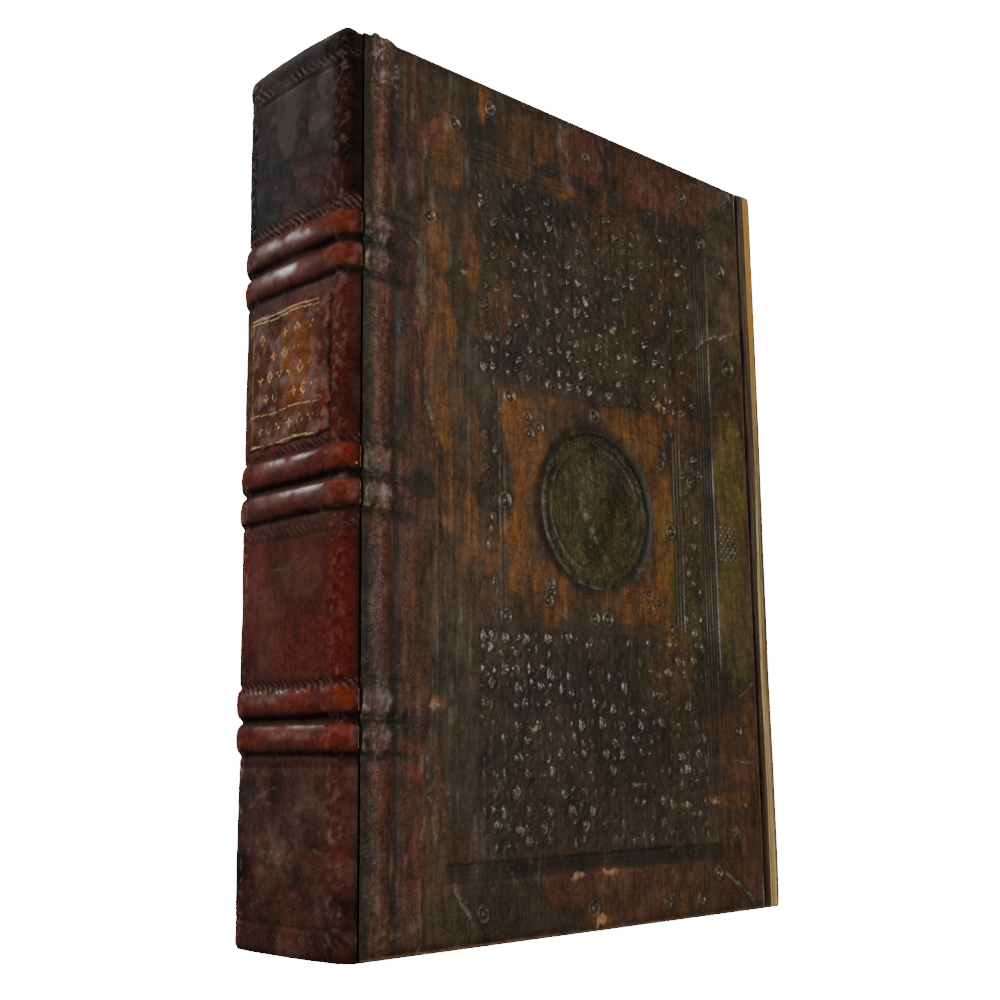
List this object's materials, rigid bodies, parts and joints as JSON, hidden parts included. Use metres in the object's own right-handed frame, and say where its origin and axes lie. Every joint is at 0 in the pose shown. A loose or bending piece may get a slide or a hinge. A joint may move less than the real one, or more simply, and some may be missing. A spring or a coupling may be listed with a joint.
{
  "type": "antique leather book",
  "caption": "Thick leather-bound book on wooden boards, standing on its tail; both covers swing open at the spine to reach the leaves.",
  "frame": {"origin": "on the ground at the middle of the closed book's box", "axes": "+Z from tail to head, +X from spine to fore-edge, +Y from front cover to back cover"},
  "size_m": [0.1942, 0.057, 0.2618],
  "materials": {
    "leaves": "aged vellum leaves, cockled, dark at the edges",
    "spine_skin": "polished red-brown leather, worn and darkened",
    "cover_skin": "blind-tooled dark brown leather, rubbed and stained",
    "board_wood": "bare quarter-sawn board",
    "tawed_cord": "alum-tawed skin thong",
    "lining": "vellum strip",
    "endband_thread": "linen thread, undyed and brown",
    "label_skin": "thin tan leather with gilt rules",
    "pastedown": "vellum leaf, foxed",
    "medallion": "moulded leather relief, painted dark green-black and worn"
  },
  "bodies": {
    "book_block": {"text_block": "leaves", "spine_leather": "spine_skin", "sewing_cord_1": "tawed_cord", "sewing_cord_2": "tawed_cord", "sewing_cord_3": "tawed_cord", "sewing_cord_4": "tawed_cord", "sewing_cord_5": "tawed_cord", "sewing_cord_6": "tawed_cord", "spine_lining_1": "lining", "spine_lining_2": "lining", "spine_lining_3": "lining", "spine_lining_4": "lining", "tail_endband_core": "tawed_cord", "tail_endband_sewing": "endband_thread", "head_endband_core": "tawed_cord", "head_endband_sewing": "endband_thread", "title_label": "label_skin"},
    "front_cover": {"front_board": "board_wood", "front_leather": "cover_skin", "front_pastedown": "pastedown", "medallion": "medallion", "front_slip_1": "tawed_cord", "front_slip_2": "tawed_cord", "front_slip_3": "tawed_cord", "front_slip_4": "tawed_cord", "front_slip_5": "tawed_cord", "front_slip_6": "tawed_cord"},
    "back_cover": {"back_board": "board_wood", "back_leather": "cover_skin", "back_pastedown": "pastedown", "back_slip_1": "tawed_cord", "back_slip_2": "tawed_cord", "back_slip_3": "tawed_cord", "back_slip_4": "tawed_cord", "back_slip_5": "tawed_cord", "back_slip_6": "tawed_cord"}
  },
  "joints": [
    {"name": "front_cover_hinge", "type": "hinge", "parent": "book_block", "child": "front_cover", "pos_m": [-0.08945, -0.02865, 0], "axis": [0, 0, -1], "range_deg": [0, 180]},
    {"name": "back_cover_hinge", "type": "hinge", "parent": "book_block", "child": "back_cover", "pos_m": [-0.08945, 0.02885, 0], "axis": [0, 0, 1], "range_deg": [0, 180]}
  ]
}
